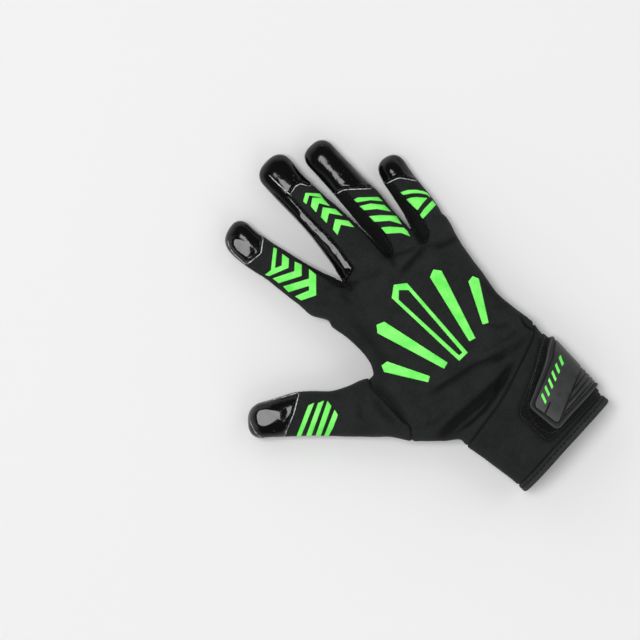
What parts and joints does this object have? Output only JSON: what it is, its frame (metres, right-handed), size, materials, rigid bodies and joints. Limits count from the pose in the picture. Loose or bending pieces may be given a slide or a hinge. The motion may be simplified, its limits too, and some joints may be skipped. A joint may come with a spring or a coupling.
{
  "type": "goalkeeper glove",
  "caption": "Thin five-fingered glove for the right hand, with a glossy grip palm and a padded cuff that a strap closes, lying palm down.",
  "frame": {"origin": "middle of the palm's flat underside, on the surface that the glove lies on", "axes": "+Y along the hand to the fingertips, +X to the little finger's side, +Z out of the back of the hand"},
  "size_m": [0.1791, 0.2505, 0.0339],
  "materials": {
    "palm_coating": "glossy silicone over knit",
    "back_fabric": "matt stretch fabric",
    "gusset_fabric": "matt knit",
    "cuff_neoprene": "fabric over neoprene",
    "binding_tape": "woven tape",
    "loop_pile": "soft loop pile",
    "strap_fabric": "matt webbing",
    "strap_rim": "satin rubber",
    "strap_patch": "satin rubber"
  },
  "bodies": {
    "root": {"palm": "palm_coating", "back_panel": "back_fabric", "gusset_index": "gusset_fabric", "gusset_middle_ring": "gusset_fabric", "gusset_ring_pinky": "gusset_fabric", "thumb_back": "back_fabric", "thumb_palm": "palm_coating", "cuff": "cuff_neoprene", "hem_binding": "binding_tape", "loop_patch": "loop_pile", "strap": "strap_fabric", "strap_rim": "strap_rim", "strap_patch": "strap_patch"}
  },
  "joints": []
}
